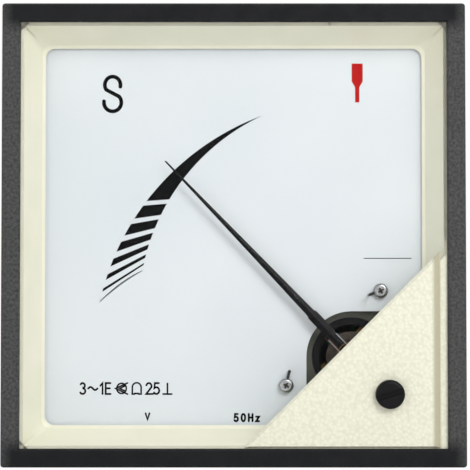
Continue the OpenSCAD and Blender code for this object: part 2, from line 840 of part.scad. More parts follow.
module terminal_nuts() color(brass) at_terminals()
    nut(terminal_hex_r, terminal_r + thread_gap, terminal_nut_y, terminal_nut_y + terminal_nut_h);

// ---------------------------------------------------------------- chassis and dial

module chassis_plate() color("#8d978c") difference() {
    slab(chassis_y, chassis_back_y) difference() {
        notched_square(chassis_half, chassis_notch);
        at_pivot_flat() circle(yoke_r + 0.8);
        at_pivot_flat(bridge_dir)
            square([2 * (pillar_at + pillar_r + 0.5), 2 * (pillar_r + 0.7)], center = true);
    }
    for (x = [-1, 1], z = [-1, 1]) rod(chassis_screw_r + screw_gap, chassis_y - cut,
        chassis_back_y + cut, x * chassis_boss_x, z * chassis_boss_z);
    on_bridge_line(base_screw_at) rod(base_screw_r + thread_gap, chassis_y - cut, chassis_back_y + cut);
}

module chassis_screws() color(steel)
    for (x = [-1, 1], z = [-1, 1]) translate([x * chassis_boss_x, 0, z * chassis_boss_z]) {
        cross_head(chassis_head_r, chassis_y - chassis_head_h, chassis_y);
        rod(chassis_screw_r, chassis_y, chassis_back_y + chassis_screw_len - 1);
    }

// The corner of the dial that is cut away for the movement
module dial_cutout() at_pivot_flat() {
    circle(dial_cut_r);
    translate([-dial_cut_r, -bezel_w]) square([bezel_w, bezel_w]);
    translate([0, -bezel_w]) square([bezel_w, bezel_w + dial_cut_r]);
}

module dial_plate() color("#e4ecef") difference() {
    slab(dial_y, dial_back_y) difference() {
        soft_square(2 * dial_half, 2 * dial_half, mask_inner_r);
        dial_cutout();
    }
    at_dial_screws() rod(dial_screw_shank + screw_gap, dial_y - cut, dial_back_y + cut);
}

module dial_posts() color(brass) at_dial_screws()
    ring(dial_post_r, dial_screw_shank + thread_gap, dial_back_y, chassis_y);

module dial_screws() color(steel) at_dial_screws() {
    cross_head(dial_head_r, dial_y - stop_ring_t - dial_head_h, dial_y - stop_ring_t);
    rod(dial_screw_shank, dial_y - stop_ring_t, chassis_y - 0.4);
}

module pointer_stops() color(ink) for (s = [-1, 1]) {
    screw_a = dial_axis + s * dial_screw_angle;
    stop_a = rest_dir + s * stop_angle;
    screw_p = dial_screw_r * [cos(screw_a), sin(screw_a)];
    stop_p = stop_r * [cos(stop_a), sin(stop_a)];
    v = stop_p - screw_p;
    translate([pivot_x, 0, pivot_z]) {
        slab(dial_y - stop_ring_t, dial_y) difference() {
            union() {
                translate(screw_p) circle(stop_ring_r);
                translate(screw_p) rotate(atan2(v[1], v[0])) translate([0, -stop_wire_r])
                    square([norm(v), 2 * stop_wire_r]);
                translate(stop_p) circle(stop_wire_r);
            }
            translate(screw_p) circle(dial_screw_shank + screw_gap);
        }
        rod(stop_wire_r, hub_y - 0.2, dial_y, stop_p[0], stop_p[1]);
    }
}

// A point at the radius r and the angle a above the left horizontal, seen from the pivot
function scale_point(r, a) = r * [-cos(a), sin(a)];

// How far a cut across the scale leans, for one that starts at the angle a
function lean(a) = 3.6 + 6.1 * pow((scale_break - a) / 24.7, 1.5);

// Both ends of the cut that starts at the angle a, lengthened past the scale
function cut_line(a) = let (
    p = scale_point(scale_r, a),
    depth = 4.4 + 0.15 * (scale_break - a),
    q = scale_point(scale_r - depth, a + lean(a)),
    v = (q - p) / norm(q - p)
) [p - 2 * v, q + 4 * v];

// Angular width of the band number k
function band_width(k) = band_first - k * band_step;

// Angle where the band number k starts
function band_start(k) = k == 0 ? scale_break - gap_first
    : band_start(k - 1) - band_width(k - 1) - gap_first - k * gap_step;

module crescent() difference() {
    circle(scale_r, $fn = 96);
    translate([scale_inner_dx, scale_shift]) circle(scale_inner_r, $fn = 96);
}

module scale_print() color(ink) slab(dial_y - film, dial_y) at_pivot_flat() {
    end = cut_line(scale_break);
    intersection() {
        crescent();
        polygon([end[1], end[0], scale_point(scale_r + 6, 50), scale_point(scale_r + 6, 72),
            scale_point(scale_r - 10, 72)]);
    }
    for (k = [0:scale_band_count - 1]) {
        first = cut_line(band_start(k));
        last = cut_line(band_start(k) - band_width(k));
        intersection() {
            crescent();
            polygon([first[0], first[1], last[1], last[0]]);
        }
    }
}

module red_index() color("#c33129") slab(dial_y - film, dial_y)
    translate([pivot_x + index_dx, pivot_z + index_up]) {
        stem = index_w * 0.38;
        neck = index_h * 0.46;
        polygon([[-index_w / 2, 0], [index_w / 2, 0], [index_w / 2, -neck], [stem / 2, -neck * 1.33],
            [stem / 2, -index_h], [-stem / 2, -index_h], [-stem / 2, -neck * 1.33],
            [-index_w / 2, -neck]]);
    }

// ---------------------------------------------------------------- movement

module movement_base() color("#7f8a80") difference() {
    union() {
        intersection() {
            slab(base_y, chassis_y) {
                at_pivot_flat() circle(base_r);
                for (s = [-1, 1]) at_pivot_flat(bridge_dir) translate([s * base_screw_at, 0])
                    circle(base_ear_r);
            }
            slab(base_y - cut, chassis_y + cut) notched_square(chassis_half, chassis_notch);
        }
        on_bridge_line(pillar_at) rod(pillar_r, bridge_back_y, chassis_y);
    }
    at_pivot() rod(yoke_r + press_gap, base_y - cut, chassis_y + cut);
    on_bridge_line(pillar_at) rod(bridge_screw_r + thread_gap, bridge_back_y - cut,
        bridge_back_y + bridge_screw_in + blind_gap);
    on_bridge_line(pillar_at) rod(bridge_screw_r + thread_gap, base_y + 0.4, chassis_y + cut);
    on_bridge_line(base_screw_at) rod(base_screw_r + screw_gap, base_y - cut, chassis_y + cut);
}

module base_screws() color(steel) on_bridge_line(base_screw_at) {
    cross_head(base_head_r, base_y - base_head_h, base_y);
    rod(base_screw_r, base_y, base_screw_end);
}

module yoke_ring() color(ink) at_pivot() ring(yoke_r, yoke_in, yoke_y, yoke_back_y);

module core_magnet() color("#6f675e") at_pivot() rod(core_r, core_y, core_back_y);

module core_supports() color(brass) at_pivot(rest_dir) slab(core_y, core_back_y)
    for (s = [90, 270]) rotate(s) intersection() {
        difference() {
            circle(yoke_in - press_gap);
            circle(core_r + press_gap);
        }
        polygon([[0, 0], 2 * yoke_in * [cos(support_angle), -sin(support_angle)],
            2 * yoke_in * [cos(support_angle), sin(support_angle)]]);
    }

// Outline of a bridge between its two pillars
module bridge_outline() at_pivot_flat(bridge_dir) difference() {
    soft_square(2 * (pillar_at + bridge_end), bridge_w, bridge_w / 2 - 0.2);
    circle(jewel_r + thread_gap);
    for (s = [-1, 1]) translate([s * pillar_at, 0]) circle(bridge_screw_r + screw_gap);
}

module front_bridge() color(brass) slab(bridge_y, bridge_back_y) bridge_outline();

module rear_bridge() color(brass) {
    slab(rear_bridge_y, rear_bridge_back_y) bridge_outline();
    on_bridge_line(pillar_at) ring(pillar_r, bridge_screw_r + screw_gap, chassis_y, rear_bridge_y);
}

module bridge_screws() color(steel) on_bridge_line(pillar_at) {
    cross_head(bridge_head_r, bridge_y - bridge_head_h, bridge_y);
    rod(bridge_screw_r, bridge_y, bridge_back_y + bridge_screw_in);
    mirror([0, 1, 0])
        cross_head(bridge_head_r, -rear_bridge_back_y - bridge_head_h, -rear_bridge_back_y);
    rod(bridge_screw_r, base_y + 0.6, rear_bridge_back_y);
}

module front_jewel_screw() color(brass) at_pivot() difference() {
    turned() polygon([[0, jewel_head_y], [jewel_head_r, jewel_head_y],
        [jewel_head_r, jewel_head_y + jewel_head_t], [jewel_neck_r, jewel_head_y + jewel_head_t],
        [jewel_neck_r, bridge_y], [jewel_r, bridge_y], [jewel_r, jewel_y], [cup_r, jewel_y],
        [0.05, jewel_y - cup_depth], [0, jewel_y - cup_depth]]);
    translate([-jewel_head_r - cut, jewel_head_y - cut, -0.3])
        cube([2 * (jewel_head_r + cut), cut + 0.35, 0.6]);
}

module rear_jewel_screw() color(brass) at_pivot() difference() {
    turned() polygon([[0, rear_jewel_y + cup_depth], [0.05, rear_jewel_y + cup_depth],
        [cup_r, rear_jewel_y], [jewel_r, rear_jewel_y], [jewel_r, rear_jewel_head_y],
        [jewel_head_r, rear_jewel_head_y], [jewel_head_r, rear_jewel_head_y + jewel_head_t],
        [0, rear_jewel_head_y + jewel_head_t]]);
    translate([-jewel_head_r - cut, rear_jewel_head_y + jewel_head_t - 0.35, -0.3])
        cube([2 * (jewel_head_r + cut), cut + 0.35, 0.6]);
}

// The tab that holds a hairspring's outer end, at the spring's radius along +X
module spring_tab(y0, y1) translate([spring_tab_r, y0, -spring_tab_w / 2])
    cube([spring_tab_t, y1 - y0, spring_tab_w]);

module rear_spring_tag() color(brass) at_pivot(dial_axis) {
    slab(rear_bridge_y - tag_plate_t, rear_bridge_y) difference() {
        union() {
            circle(jewel_neck_r + 1);
            translate([0, -spring_tab_w / 2]) square([tag_plate_len, spring_tab_w]);
        }
        circle(jewel_r + thread_gap);
    }
    spring_tab(rear_spring_y + 0.1, rear_bridge_y);
}

// ---------------------------------------------------------------- moving coil

// A rectangular loop round the core, from the half width r_in and the planes y0 and y1 outwards
module loop(r_in, y0, y1, t, w, r) translate([0, (y0 + y1) / 2, 0])
    linear_extrude(height = w, center = true) difference() {
        soft_square(2 * (r_in + t), y1 - y0 + 2 * t, r);
        square([2 * r_in, y1 - y0], center = true);
    }

module coil_former() color("#c9ccd0") at_pivot(rest_dir)
    loop(former_in, core_y - air_gap, core_back_y + air_gap, former_t, former_w, 0.25);

module coil_winding() color(copper) at_pivot(rest_dir)
    loop(former_out, core_y - air_gap - former_t, core_back_y + air_gap + former_t, winding_t,
        winding_w, 0.6);

module front_pivot() color(steel) at_pivot() turned()
    polygon([[0, coil_y], [pivot_boss_r, coil_y], [pivot_boss_r, coil_y - pivot_boss_t],
        [shaft_r, coil_y - pivot_boss_t], [shaft_r, jewel_y + 2 * needle_gap],
        [0.7 * cup_r, jewel_y + needle_gap], [0.03, jewel_y - cup_depth + needle_gap],
        [0, jewel_y - cup_depth + needle_gap]]);

module rear_pivot() color(steel) at_pivot() turned()
    polygon([[0, rear_jewel_y + cup_depth - needle_gap],
        [0.03, rear_jewel_y + cup_depth - needle_gap], [0.7 * cup_r, rear_jewel_y - needle_gap],
        [shaft_r, rear_jewel_y - 2 * needle_gap], [shaft_r, rear_boss_y],
        [pivot_boss_r, rear_boss_y], [pivot_boss_r, coil_back_y], [0, coil_back_y]]);

// A point on the hairspring's spiral, which ends along +X
function spiral_point(t, side) = let (
    r = spring_in + (spring_out - spring_in) * t + side * spring_t / 2,
    a = 360 * spring_turns * (t - 1)
) r * [cos(a), sin(a)];

module hairspring(y0) color("#8a6f3c") {
    n = spring_turns * spring_steps;
    slab(y0, y0 + spring_h) {
        difference() {
            circle(spring_in + spring_t / 2);
            circle(shaft_r + press_gap);
        }
        polygon([for (i = [0:n]) spiral_point(i / n, 1), for (i = [n:-1:0]) spiral_point(i / n, -1)]);
    }
}

module front_hairspring() at_pivot(knob_dir) hairspring(spring_y);

module rear_hairspring() at_pivot(dial_axis) hairspring(rear_spring_y);

// One thin slice of the pointer, roof-shaped towards the front
module pointer_slice(r, w, h) translate([r, 0, 0]) rotate([90, 0, 90]) linear_extrude(height = 0.02)
    polygon([[blade_back_y, -w / 2], [blade_back_y, w / 2], [blade_back_y - h * 0.35, w / 2],
        [blade_back_y - h, 0], [blade_back_y - h * 0.35, -w / 2]]);

module pointer() color(ink) at_pivot(rest_dir) {
    hull() {
        pointer_slice(hub_r + press_gap, hub_r, blade_h);
        pointer_slice(sleeve_start, hub_r, blade_h);
    }
    hull() {
        pointer_slice(sleeve_start, sleeve_w, blade_h * 1.3);
        pointer_slice(sleeve_end, sleeve_w, blade_h * 1.3);
    }
    hull() {
        pointer_slice(sleeve_end - 0.5, blade_w, blade_h);
        pointer_slice(pointer_len, tip_w, blade_h * 0.6);
    }
}

module balance_cross() color(steel) at_pivot(rest_dir) {
    ring(hub_r, shaft_r + press_gap, hub_y, hub_y + hub_h);
    for (a = [90, 180, 270]) rotate([0, -a, 0]) translate([hub_r - overlap, arm_y, -arm_w / 2])
        cube([balance_len - hub_r + overlap, arm_t, arm_w]);
}

module balance_weights() color(brass) at_pivot(rest_dir)
    for (a = [90, 180, 270]) rotate([0, -a, 0]) translate([weight_at, arm_y + arm_t / 2, 0])
        rotate([0, 90, 0]) difference() {
            cylinder(r = weight_r, h = weight_len, center = true);
            cube([arm_w + 2 * press_gap, arm_t + 2 * press_gap, 2 * weight_len], center = true);
        }

// ---------------------------------------------------------------- zero adjuster

module zero_adjuster() color(ink) translate([knob_x, 0, knob_z]) {
    difference() {
        pan_head(knob_r, knob_y - knob_h, knob_y, 0.35);
        rotate([0, -slot_tilt, 0]) translate([-2 * knob_r, knob_y - knob_h - cut, -slot_w / 2])
            cube([4 * knob_r, cut + slot_depth, slot_w]);
    }
    rod(adjuster_r, knob_y, clip_y);
    rod(groove_r, clip_y, clip_y + clip_t);
    rod(adjuster_r, clip_y + clip_t, shaft_end_y);
    rotate([0, -knob_dir, 0]) rod(pin_r, shaft_end_y - overlap, pin_end_y, -eccentric, 0);
}

module adjuster_clip() color(steel) translate([knob_x, 0, knob_z]) difference() {
    ring(clip_r, groove_r + press_gap, clip_y + 0.02, clip_y + clip_t - 0.02);
    translate([0, clip_y - cut, -groove_r * 0.75]) cube([2 * clip_r, clip_t + 2 * cut, groove_r * 1.5]);
}

module zero_lever() color(brass) at_pivot(knob_dir) {
    slab(lever_y, lever_back_y) difference() {
        union() {
            circle(jewel_neck_r + 1.4);
            translate([0, -fork_w / 2]) square([fork_len, fork_w]);
        }
        circle(jewel_neck_r + running_gap);
        translate([fork_pin_at - 2, -pin_r - fork_gap]) square([fork_len, 2 * (pin_r + fork_gap)]);
    }
    spring_tab(lever_y, spring_y + spring_h);
}

// ---------------------------------------------------------------- circuit board

module circuit_board() color("#3c6a4a") difference() {
    slab(board_y, board_back_y) translate([0, board_z]) soft_square(board_w, board_h, 2);
    at_terminals() rod(terminal_r + screw_gap, board_y - cut, board_back_y + cut);
}

module transformer_core() color("#5d6166")
    slab(board_y - coil_build - core_stack, board_y - coil_build)
    translate([transformer_x, board_z + transformer_up]) difference() {
        square([3.5 * leg_w, 3 * leg_w], center = true);
        for (s = [-1, 1]) translate([s * leg_w * 0.85, 0]) square([leg_w * 0.7, 2 * leg_w], center = true);
    }

module transformer_coil() color(copper)
    translate([transformer_x, board_y - coil_build - core_stack / 2, board_z + transformer_up])
        linear_extrude(height = 2 * (leg_w - coil_gap), center = true) difference() {
            soft_square(2.2 * leg_w, core_stack + 2 * coil_build, 1);
            square([leg_w + 2 * coil_gap, core_stack + 2 * coil_gap], center = true);
        }

// A part with a wire out of each end, standing on its bent wires at the board
module axial_part(r, h, span) {
    y = board_y - r - capacitor_bead;
    translate([0, y, -h / 2]) cylinder(r = r, h = h);
    translate([0, y, -span / 2]) cylinder(r = lead_r, h = span);
    for (s = [-1, 1]) rod(lead_r, y - lead_r, board_y, 0, s * span / 2);
}

module resistors() color("#7fa6b4") for (i = [0:3])
    translate([resistor_x + i * resistor_pitch, 0, board_z + transformer_up])
        axial_part(resistor_r, resistor_len, resistor_span);

module capacitors() color("#2d3f6b") for (up = capacitor_up) translate([capacitor_x, 0, board_z + up]) {
    top = board_y - capacitor_h;
    neck = board_y - 4 * capacitor_bead;
    in = capacitor_r - capacitor_bead;
    turned() polygon([[0, top], [in, top], [capacitor_r, top + capacitor_bead],
        [capacitor_r, neck - capacitor_bead], [in, neck], [capacitor_r, neck + capacitor_bead],
        [capacitor_r, board_y], [0, board_y]]);
}

module diodes() color(ink) for (x = diode_x, up = diode_up) translate([x, 0, board_z + up])
    axial_part(diode_r, diode_len, diode_span);

module trimmer() color("#2f62a8") translate([0, board_y, board_z + board_h / 2 - trimmer_inset]) {
    translate([-trimmer_size[0] / 2, -trimmer_size[1], -trimmer_size[2] / 2]) cube(trimmer_size);
    rod(trimmer_size[2] / 5, -trimmer_size[1] - trimmer_screw_h, -trimmer_size[1]);
}

// Two insulated wires, from the rear spring's tag and from a base screw to the board
module lead_wires() color("#9c2f2a") {
    tag = [pivot_x + tag_wire_at * cos(dial_axis), rear_bridge_y, pivot_z + tag_wire_at * sin(dial_axis)];
    screw = [pivot_x - base_screw_at * cos(bridge_dir), base_screw_end,
        pivot_z - base_screw_at * sin(bridge_dir)];
    wire(tag, [tag_pad[0], board_y, board_z + tag_pad[1]], wire_r);
    wire(screw, [screw_pad[0], board_y, board_z + screw_pad[1]], wire_r);
}

front_frame();
window();
inner_mask();
corner_cover();
rear_housing();
frame_screws();
mounting_studs();
stud_root_nuts();
panel_clamps();
clamp_washers();
clamp_nuts();
terminal_studs();
terminal_spacers();
terminal_lock_nuts();
terminal_tags();
terminal_washers();
spring_washers();
terminal_nuts();
chassis_plate();
chassis_screws();
dial_plate();
dial_posts();
dial_screws();
pointer_stops();
scale_print();
red_index();
movement_base();
base_screws();
yoke_ring();
core_magnet();
core_supports();
front_bridge();
rear_bridge();
bridge_screws();
front_jewel_screw();
rear_jewel_screw();
rear_spring_tag();
coil_former();
coil_winding();
front_pivot();
rear_pivot();
front_hairspring();
rear_hairspring();
pointer();
balance_cross();
balance_weights();
zero_adjuster();
adjuster_clip();
zero_lever();
circuit_board();
transformer_core();
transformer_coil();
resistors();
capacitors();
diodes();
trimmer();
lead_wires();
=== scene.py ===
import math

import bpy
import bmesh
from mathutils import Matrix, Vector


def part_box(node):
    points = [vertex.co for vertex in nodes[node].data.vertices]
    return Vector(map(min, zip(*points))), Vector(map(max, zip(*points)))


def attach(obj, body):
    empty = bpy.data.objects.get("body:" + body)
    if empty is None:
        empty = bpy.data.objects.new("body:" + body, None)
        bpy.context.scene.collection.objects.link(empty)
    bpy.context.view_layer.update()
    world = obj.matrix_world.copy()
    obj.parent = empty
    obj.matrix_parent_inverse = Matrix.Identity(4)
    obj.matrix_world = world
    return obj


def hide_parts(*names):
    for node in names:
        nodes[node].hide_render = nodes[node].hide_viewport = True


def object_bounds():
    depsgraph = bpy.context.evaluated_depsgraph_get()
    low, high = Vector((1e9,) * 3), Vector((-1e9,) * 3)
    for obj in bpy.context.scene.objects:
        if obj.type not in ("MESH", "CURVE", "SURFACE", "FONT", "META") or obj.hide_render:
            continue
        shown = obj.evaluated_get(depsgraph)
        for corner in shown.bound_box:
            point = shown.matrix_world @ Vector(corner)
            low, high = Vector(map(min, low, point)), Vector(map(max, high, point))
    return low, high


# Square panel meter: the looks, the printed signs, the threads, the light and the camera.
# Lengths are metres. X points right, Z up, and Y goes into the panel.
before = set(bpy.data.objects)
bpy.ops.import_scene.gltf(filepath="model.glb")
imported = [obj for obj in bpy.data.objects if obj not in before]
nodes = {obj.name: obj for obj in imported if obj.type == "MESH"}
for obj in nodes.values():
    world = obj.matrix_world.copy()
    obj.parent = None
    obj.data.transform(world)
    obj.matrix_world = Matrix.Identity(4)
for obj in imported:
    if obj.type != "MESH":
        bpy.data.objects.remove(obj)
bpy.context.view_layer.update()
mm = 0.001
print("frame loaded:", len(nodes), "nodes")


def span(node):  # lowest and highest corner of a node at rest
    low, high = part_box(node)
    return Vector(low), Vector(high)


# node trees

def linear(rgb):  # 0..255 screen colour to the shader's numbers
    parts = [c / 255 for c in rgb]
    return tuple(c / 12.92 if c <= 0.04045 else ((c + 0.055) / 1.055) ** 2.4 for c in parts)


def addNode(mat, kind, inputs=None, **settings):  # mat is a material, or the world
    node = mat.node_tree.nodes.new(kind)
    for key, value in settings.items():
        setattr(node, key, value)
    for key, value in (inputs or {}).items():
        node.inputs[key].default_value = value
    return node


def join(mat, source, target):
    mat.node_tree.links.new(source, target)


def newMaterial(name, colour, rough, metal=0.0):
    mat = bpy.data.materials.new(name)
    mat.use_nodes = True
    shader = mat.node_tree.nodes["Principled BSDF"]
    shader.inputs["Base Color"].default_value = (*linear(colour), 1)
    shader.inputs["Roughness"].default_value = rough
    shader.inputs["Metallic"].default_value = metal
    mat.diffuse_color = (*linear(colour), 1)
    return mat, shader


def stretched(mat, scale):  # object coordinates in metres, stretched by scale
    coords = addNode(mat, "ShaderNodeTexCoord").outputs["Object"]
    mapping = addNode(mat, "ShaderNodeMapping", {"Scale": scale})
    join(mat, coords, mapping.inputs["Vector"])
    return mapping.outputs["Vector"]


def noise(mat, size, detail=3.0, scale=(1, 1, 1)):  # size is that of one blotch, in metres
    node = addNode(mat, "ShaderNodeTexNoise", {"Scale": 1 / size, "Detail": detail, "Roughness": 0.55})
    join(mat, stretched(mat, scale), node.inputs["Vector"])
    return node.outputs["Fac"]


def ranged(mat, value, low, high, fromLow=0.3, fromHigh=0.7):  # a noise lies mostly between 0.3 and 0.7
    limits = {"From Min": fromLow, "From Max": fromHigh, "To Min": low, "To Max": high}
    node = addNode(mat, "ShaderNodeMapRange", limits)
    join(mat, value, node.inputs["Value"])
    return node.outputs["Result"]


def tones(mat, shader, factor, first, second):  # two colours by a factor
    mix = addNode(mat, "ShaderNodeMix", data_type="RGBA")
    mix.inputs["A"].default_value = (*linear(first), 1)
    mix.inputs["B"].default_value = (*linear(second), 1)
    join(mat, factor, mix.inputs["Factor"])
    join(mat, mix.outputs["Result"], shader.inputs["Base Color"])
    return mix


def bumps(mat, shader, *layers):  # each layer is (height 0..1, depth in metres)
    last = None
    for height, depth in layers:
        bump = addNode(mat, "ShaderNodeBump", {"Strength": 1.0, "Distance": depth})
        join(mat, height, bump.inputs["Height"])
        if last:
            join(mat, last, bump.inputs["Normal"])
        last = bump.outputs["Normal"]
    join(mat, last, shader.inputs["Normal"])


def along(mat, axis, low, high):  # 0..1 as the distance from the middle grows from low to high
    coords = addNode(mat, "ShaderNodeTexCoord").outputs["Object"]
    split = addNode(mat, "ShaderNodeSeparateXYZ")
    join(mat, coords, split.inputs["Vector"])
    size = addNode(mat, "ShaderNodeMath", operation="ABSOLUTE")
    join(mat, split.outputs[axis], size.inputs[0])
    return ranged(mat, size.outputs["Value"], 0, 1, low, high)


def product(mat, first, second):
    both = addNode(mat, "ShaderNodeMath", operation="MULTIPLY")
    join(mat, first, both.inputs[0])
    join(mat, second, both.inputs[1])
    return both.outputs["Value"]


def patched(mat, shader, mix, colour, where):  # another colour over the tones, as far as where is 1
    patch = addNode(mat, "ShaderNodeMix", data_type="RGBA")
    patch.inputs["B"].default_value = (*linear(colour), 1)
    join(mat, where, patch.inputs["Factor"])
    join(mat, mix.outputs["Result"], patch.inputs["A"])
    join(mat, patch.outputs["Result"], shader.inputs["Base Color"])


# A finish has two tones in blotches, a roughness that varies and layers of grain. rough is its even
# roughness, worn the lowest and highest. blotch and wear are the sizes of the patches of tone and
# roughness, and each layer of grain is its size, its detail and its depth. plain is the colour that a
# viewport shows, if it isn't the first.
def surface(name, look, **changes):
    look = {**look, **changes}
    mat, shader = newMaterial(name, look.get("plain", look["first"]), look["rough"], look.get("metal", 0.0))
    shader.inputs["Specular IOR Level"].default_value = look.get("gloss", 0.5)
    blotches = noise(mat, look["blotch"], look.get("blotchDetail", 3))
    tones(mat, shader, ranged(mat, blotches, 0, 1), look["first"], look["second"])
    wear = noise(mat, look["wear"], look.get("wearDetail", 3))
    join(mat, ranged(mat, wear, *look["worn"]), shader.inputs["Roughness"])
    brushed = look.get("brushed", (1, 1, 1))
    layers = [(noise(mat, size, detail, brushed), depth) for size, detail, depth in look["grain"]]
    bumps(mat, shader, *layers)
    return mat


# moulded plastics

# painted shade: the bars above and below are painted a darker black than the side bars, which fades in over
# the given heights (Z pair) and widths (X pair)
frameLook = {"dark": (46, 48, 48), "light": (80, 81, 79), "barShade": (8, 10, 13), "barShadeZ": (52 * mm, 56 * mm),
             "barShadeX": (61 * mm, 57 * mm), "grainSize": 0.75 * mm, "grainDepth": 0.07 * mm, "rough": 0.5,
             "worn": (0.5, 0.7), "wear": 6 * mm, "gloss": 0.2}


def grainedBlack(name="grainedBlack", look=frameLook):
    mat, shader = newMaterial(name, look["dark"], look["rough"])
    shader.inputs["Specular IOR Level"].default_value = look["gloss"]
    grain = noise(mat, look["grainSize"], 4)
    mix = tones(mat, shader, ranged(mat, grain, 0, 1), look["dark"], look["light"])
    # painted shade: the middle of the top and bottom bars is painted darker
    if "barShade" in look:
        bars = product(mat, along(mat, "Z", *look["barShadeZ"]), along(mat, "X", *look["barShadeX"]))
        patched(mat, shader, mix, look["barShade"], bars)
    join(mat, ranged(mat, noise(mat, look["wear"]), *look["worn"]), shader.inputs["Roughness"])
    fine = noise(mat, look["grainSize"] / 3)
    bumps(mat, shader, (grain, look["grainDepth"]), (fine, look["grainDepth"] / 3))
    return mat


housingLook = {"dark": (27, 28, 30), "light": (40, 41, 43), "grainSize": 1.3 * mm, "grainDepth": 0.03 * mm,
               "rough": 0.5, "worn": (0.34, 0.55), "wear": 14 * mm, "gloss": 0.45}
maskLook = {"first": (243, 242, 219), "second": (249, 247, 226), "rough": 0.42, "worn": (0.3, 0.45),
            "blotch": 9 * mm, "wear": 4 * mm,
            "grain": [(5 * mm, 2, 0.06 * mm), (0.5 * mm, 2, 0.004 * mm)]}
knobLook = {"plain": (9, 10, 12), "first": (6, 7, 8), "second": (14, 15, 17), "gloss": 0.15, "rough": 0.35,
            "worn": (0.3, 0.5), "blotch": 1.4 * mm, "wear": 0.8 * mm, "grain": [(0.5 * mm, 3, 0.012 * mm)]}
glossLook = {"blotch": 2 * mm, "wear": 4 * mm, "grain": [(2 * mm, 3, 0.02 * mm)]}


def glossPlastic(name, first, second, rough=0.25):
    return surface(name, glossLook, first=first, second=second, rough=rough, worn=(rough * 0.8, rough * 1.5))


# fine and fineDepth are the grain on each pebble, pebble the distances at which one begins and ends
# the last three entries paint shade: a darker strip along the cover's right edge, fading in and out over the
# X distances given
coverLook = {"first": (219, 218, 197), "second": (234, 233, 213), "cell": 0.9 * mm, "depth": 0.06 * mm,
             "pebble": (0.1, 0.75), "fine": 0.4 * mm, "fineDepth": 0.012 * mm, "rough": 0.5,
             "worn": (0.6, 0.45), "warp": 2.2 * mm, "warpReach": 0.5 * mm, "edgeShade": (186, 181, 154),
             "edgeShadeFrom": (51.0 * mm, 51.9 * mm), "edgeShadeTo": (53.6 * mm, 53.1 * mm)}


def grainedCream():  # the cover's pebbled leather grain
    mat, shader = newMaterial("grainedCream", coverLook["first"], coverLook["rough"])
    warp = noise(mat, coverLook["warp"], 2)
    shape = {"Scale": 1 / coverLook["cell"], "Randomness": 1.0, "Smoothness": 0.6}
    cells = addNode(mat, "ShaderNodeTexVoronoi", shape, feature="SMOOTH_F1")
    coords = addNode(mat, "ShaderNodeVectorMath", operation="MULTIPLY_ADD")
    coords.inputs[1].default_value = [coverLook["warpReach"]] * 3
    join(mat, warp, coords.inputs[0])
    join(mat, stretched(mat, (1, 1, 1)), coords.inputs[2])
    join(mat, coords.outputs["Vector"], cells.inputs["Vector"])
    pebble = ranged(mat, cells.outputs["Distance"], 1, 0, *coverLook["pebble"])
    mix = tones(mat, shader, pebble, coverLook["first"], coverLook["second"])
    band = product(mat, along(mat, "X", *coverLook["edgeShadeFrom"]), along(mat, "X", *coverLook["edgeShadeTo"]))
    patched(mat, shader, mix, coverLook["edgeShade"], band)  # painted shade: the strip along the right side is painted darker
    join(mat, ranged(mat, pebble, *coverLook["worn"], 0, 1), shader.inputs["Roughness"])
    fine = noise(mat, coverLook["fine"])
    bumps(mat, shader, (pebble, coverLook["depth"]), (fine, coverLook["fineDepth"]))
    return mat


# painted and printed surfaces

dialLook = {"first": (222, 230, 233), "second": (232, 238, 240), "rough": 0.4, "worn": (0.42, 0.55),
            "blotch": 45 * mm, "blotchDetail": 1, "wear": 8 * mm, "grain": [(1.6 * mm, 2, 0.008 * mm)]}
inkLook = {"rough": 0.5, "worn": (0.4, 0.6), "gloss": 0.06, "blotch": 1.1 * mm, "wear": 0.6 * mm,
           "grain": [(0.25 * mm, 3, 0.004 * mm)]}
lacquerLook = {"blotch": 5 * mm, "wear": 2.5 * mm, "grain": [(0.9 * mm, 2, 0.015 * mm)]}


def lacquer(name, first, second, rough=0.4, metal=0.0, gloss=0.5):  # sprayed metal with a little orange peel
    return surface(name, lacquerLook, first=first, second=second, rough=rough,
                   worn=(rough * 0.8, rough * 1.3), metal=metal, gloss=gloss)


# metals, some of them brushed, and the board

steelLook = {"first": (188, 190, 192), "second": (158, 160, 160), "metal": 1.0, "rough": 0.3,
             "worn": (0.22, 0.42), "blotch": 3.5 * mm, "wear": 1.2 * mm, "wearDetail": 4,
             "grain": [(0.5 * mm, 3, 0.008 * mm)], "brushed": (1, 0.2, 1)}
brassLook = {"first": (205, 172, 100), "second": (176, 140, 72), "metal": 1.0, "rough": 0.3,
             "worn": (0.2, 0.42), "blotch": 4 * mm, "wear": 1.5 * mm, "wearDetail": 4,
             "grain": [(0.35 * mm, 3, 0.008 * mm)], "brushed": (0.25, 1, 0.25)}
magnetLook = {"plain": (74, 66, 58), "first": (58, 51, 45), "second": (92, 82, 72), "metal": 0.6,
              "rough": 0.35, "worn": (0.25, 0.5), "blotch": 1.2 * mm, "wear": 0.5 * mm,
              "grain": [(0.4 * mm, 4, 0.012 * mm)], "brushed": (1, 1, 0.15)}
coilLook = {"plain": (150, 74, 38), "first": (96, 42, 20), "second": (184, 98, 52), "metal": 0.85,
            "rough": 0.3, "worn": (0.22, 0.4), "wear": 1 * mm, "wire": 1.2 * mm, "depth": 0.05 * mm}
coreLook = {"plain": (92, 96, 100), "first": (58, 60, 63), "second": (116, 120, 124), "metal": 0.9,
            "rough": 0.4, "worn": (0.3, 0.5), "wear": 2 * mm, "sheet": 1.6 * mm, "depth": 0.04 * mm}
boardLook = {"plain": (30, 84, 54), "mask": (24, 74, 48), "tracks": (58, 118, 70), "rough": 0.3,
             "worn": (0.22, 0.4), "wear": 3 * mm, "tile": 14 * mm, "depth": 0.03 * mm,
             "fine": 0.6 * mm, "fineDepth": 0.006 * mm}


